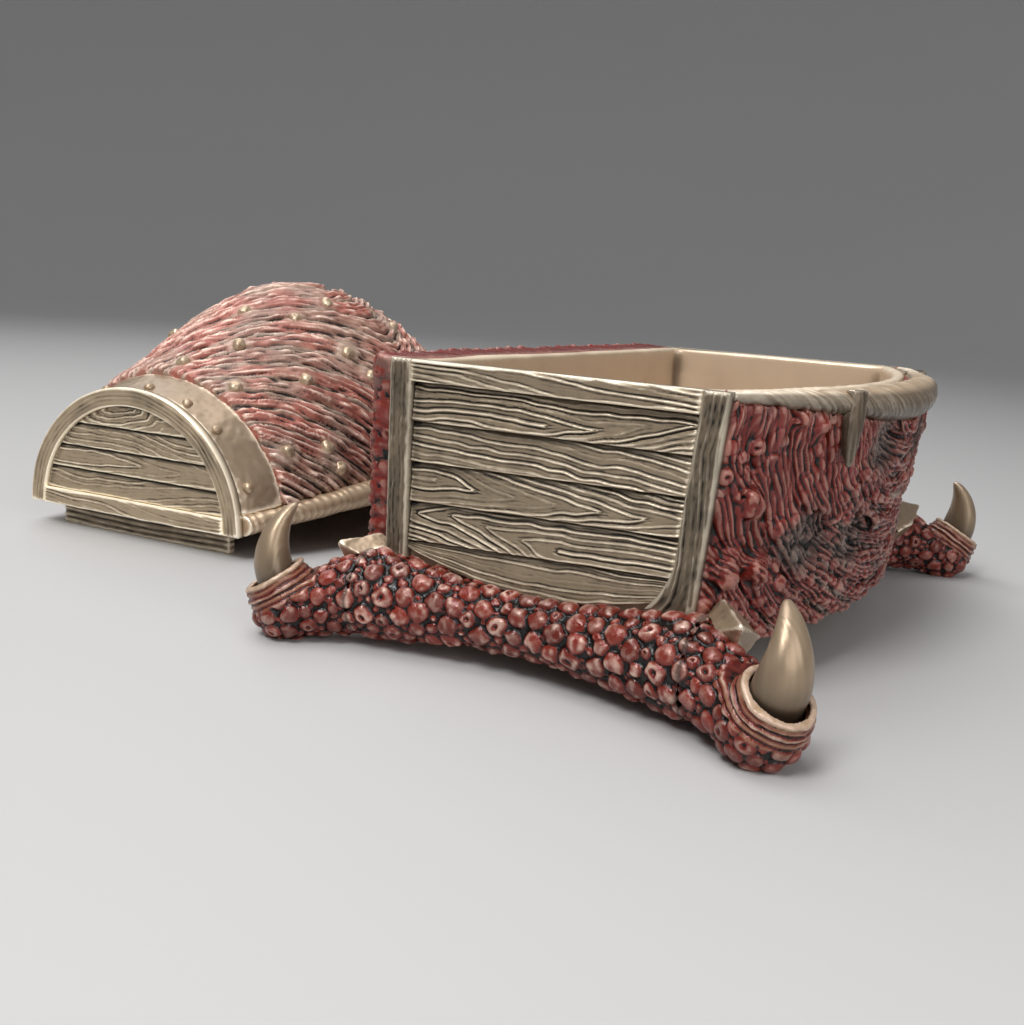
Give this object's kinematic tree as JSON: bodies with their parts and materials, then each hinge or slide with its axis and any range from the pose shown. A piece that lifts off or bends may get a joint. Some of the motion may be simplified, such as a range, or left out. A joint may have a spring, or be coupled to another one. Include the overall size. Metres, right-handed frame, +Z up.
{
  "type": "treasure chest",
  "caption": "Small claw-footed treasure chest: an open tub with plank ends on scaly toes, and a humped, arch-ended lid that lifts off and stands behind it.",
  "frame": {"origin": "on the table, under the middle of the base and the lid together", "axes": "+Z up, +Y from the base's front to the lid behind it, +X to the right along the base"},
  "size_m": [0.1856, 0.2444, 0.0708],
  "materials": {
    "bronze_wood": "cast resin carved as old planks, dry-brushed bronze over dark brown",
    "red_scale": "cast resin pebble scales, brick red with dark crevices and pink highlights",
    "red_sinew": "cast resin sinew strands, dull red with dark grooves",
    "smooth_bronze": "smooth cast resin with a pearly bronze paint",
    "tan_inside": "smooth cast resin, satin tan-bronze paint"
  },
  "bodies": {
    "base": {"back_hide": "red_sinew", "claw_back_left": "smooth_bronze", "claw_back_right": "smooth_bronze", "claw_front_left": "smooth_bronze", "claw_front_right": "smooth_bronze", "fang_left": "smooth_bronze", "fang_right": "smooth_bronze", "front_hide": "red_sinew", "lower_lip": "smooth_bronze", "plank_1_left": "bronze_wood", "plank_1_right": "bronze_wood", "plank_2_left": "bronze_wood", "plank_2_right": "bronze_wood", "plank_3_left": "bronze_wood", "plank_3_right": "bronze_wood", "plank_4_left": "bronze_wood", "plank_4_right": "bronze_wood", "plank_scalloped_left": "bronze_wood", "plank_scalloped_right": "bronze_wood", "post_back_left": "bronze_wood", "post_back_right": "bronze_wood", "post_front_left": "bronze_wood", "post_front_right": "bronze_wood", "roll_left": "red_scale", "roll_right": "red_scale", "spike_back_left": "smooth_bronze", "spike_back_right": "smooth_bronze", "spike_front_left": "smooth_bronze", "spike_front_right": "smooth_bronze", "toe_back_left": "red_scale", "toe_back_right": "red_scale", "toe_front_left": "red_scale", "toe_front_right": "red_scale", "top_rail_left": "bronze_wood", "top_rail_right": "bronze_wood", "tub": "tan_inside"},
    "lid": {"lid_arch_left": "bronze_wood", "lid_arch_right": "bronze_wood", "lid_hide": "red_sinew", "lid_plank_1_left": "bronze_wood", "lid_plank_1_right": "bronze_wood", "lid_plank_2_left": "bronze_wood", "lid_plank_2_right": "bronze_wood", "lid_plank_3_left": "bronze_wood", "lid_plank_3_right": "bronze_wood", "lid_plank_4_left": "bronze_wood", "lid_plank_4_right": "bronze_wood", "lid_rail_left": "bronze_wood", "lid_rail_right": "bronze_wood", "lid_rivets": "smooth_bronze", "lid_shell": "tan_inside", "lid_tongue": "tan_inside", "lid_warts": "smooth_bronze", "strap_left": "smooth_bronze", "strap_right": "smooth_bronze", "upper_lip": "smooth_bronze"}
  },
  "joints": [
    {"name": "lid_lift", "type": "slide", "parent": "base", "child": "lid", "axis": [0, 0, 1], "range_m": [0, 0.075]}
  ]
}
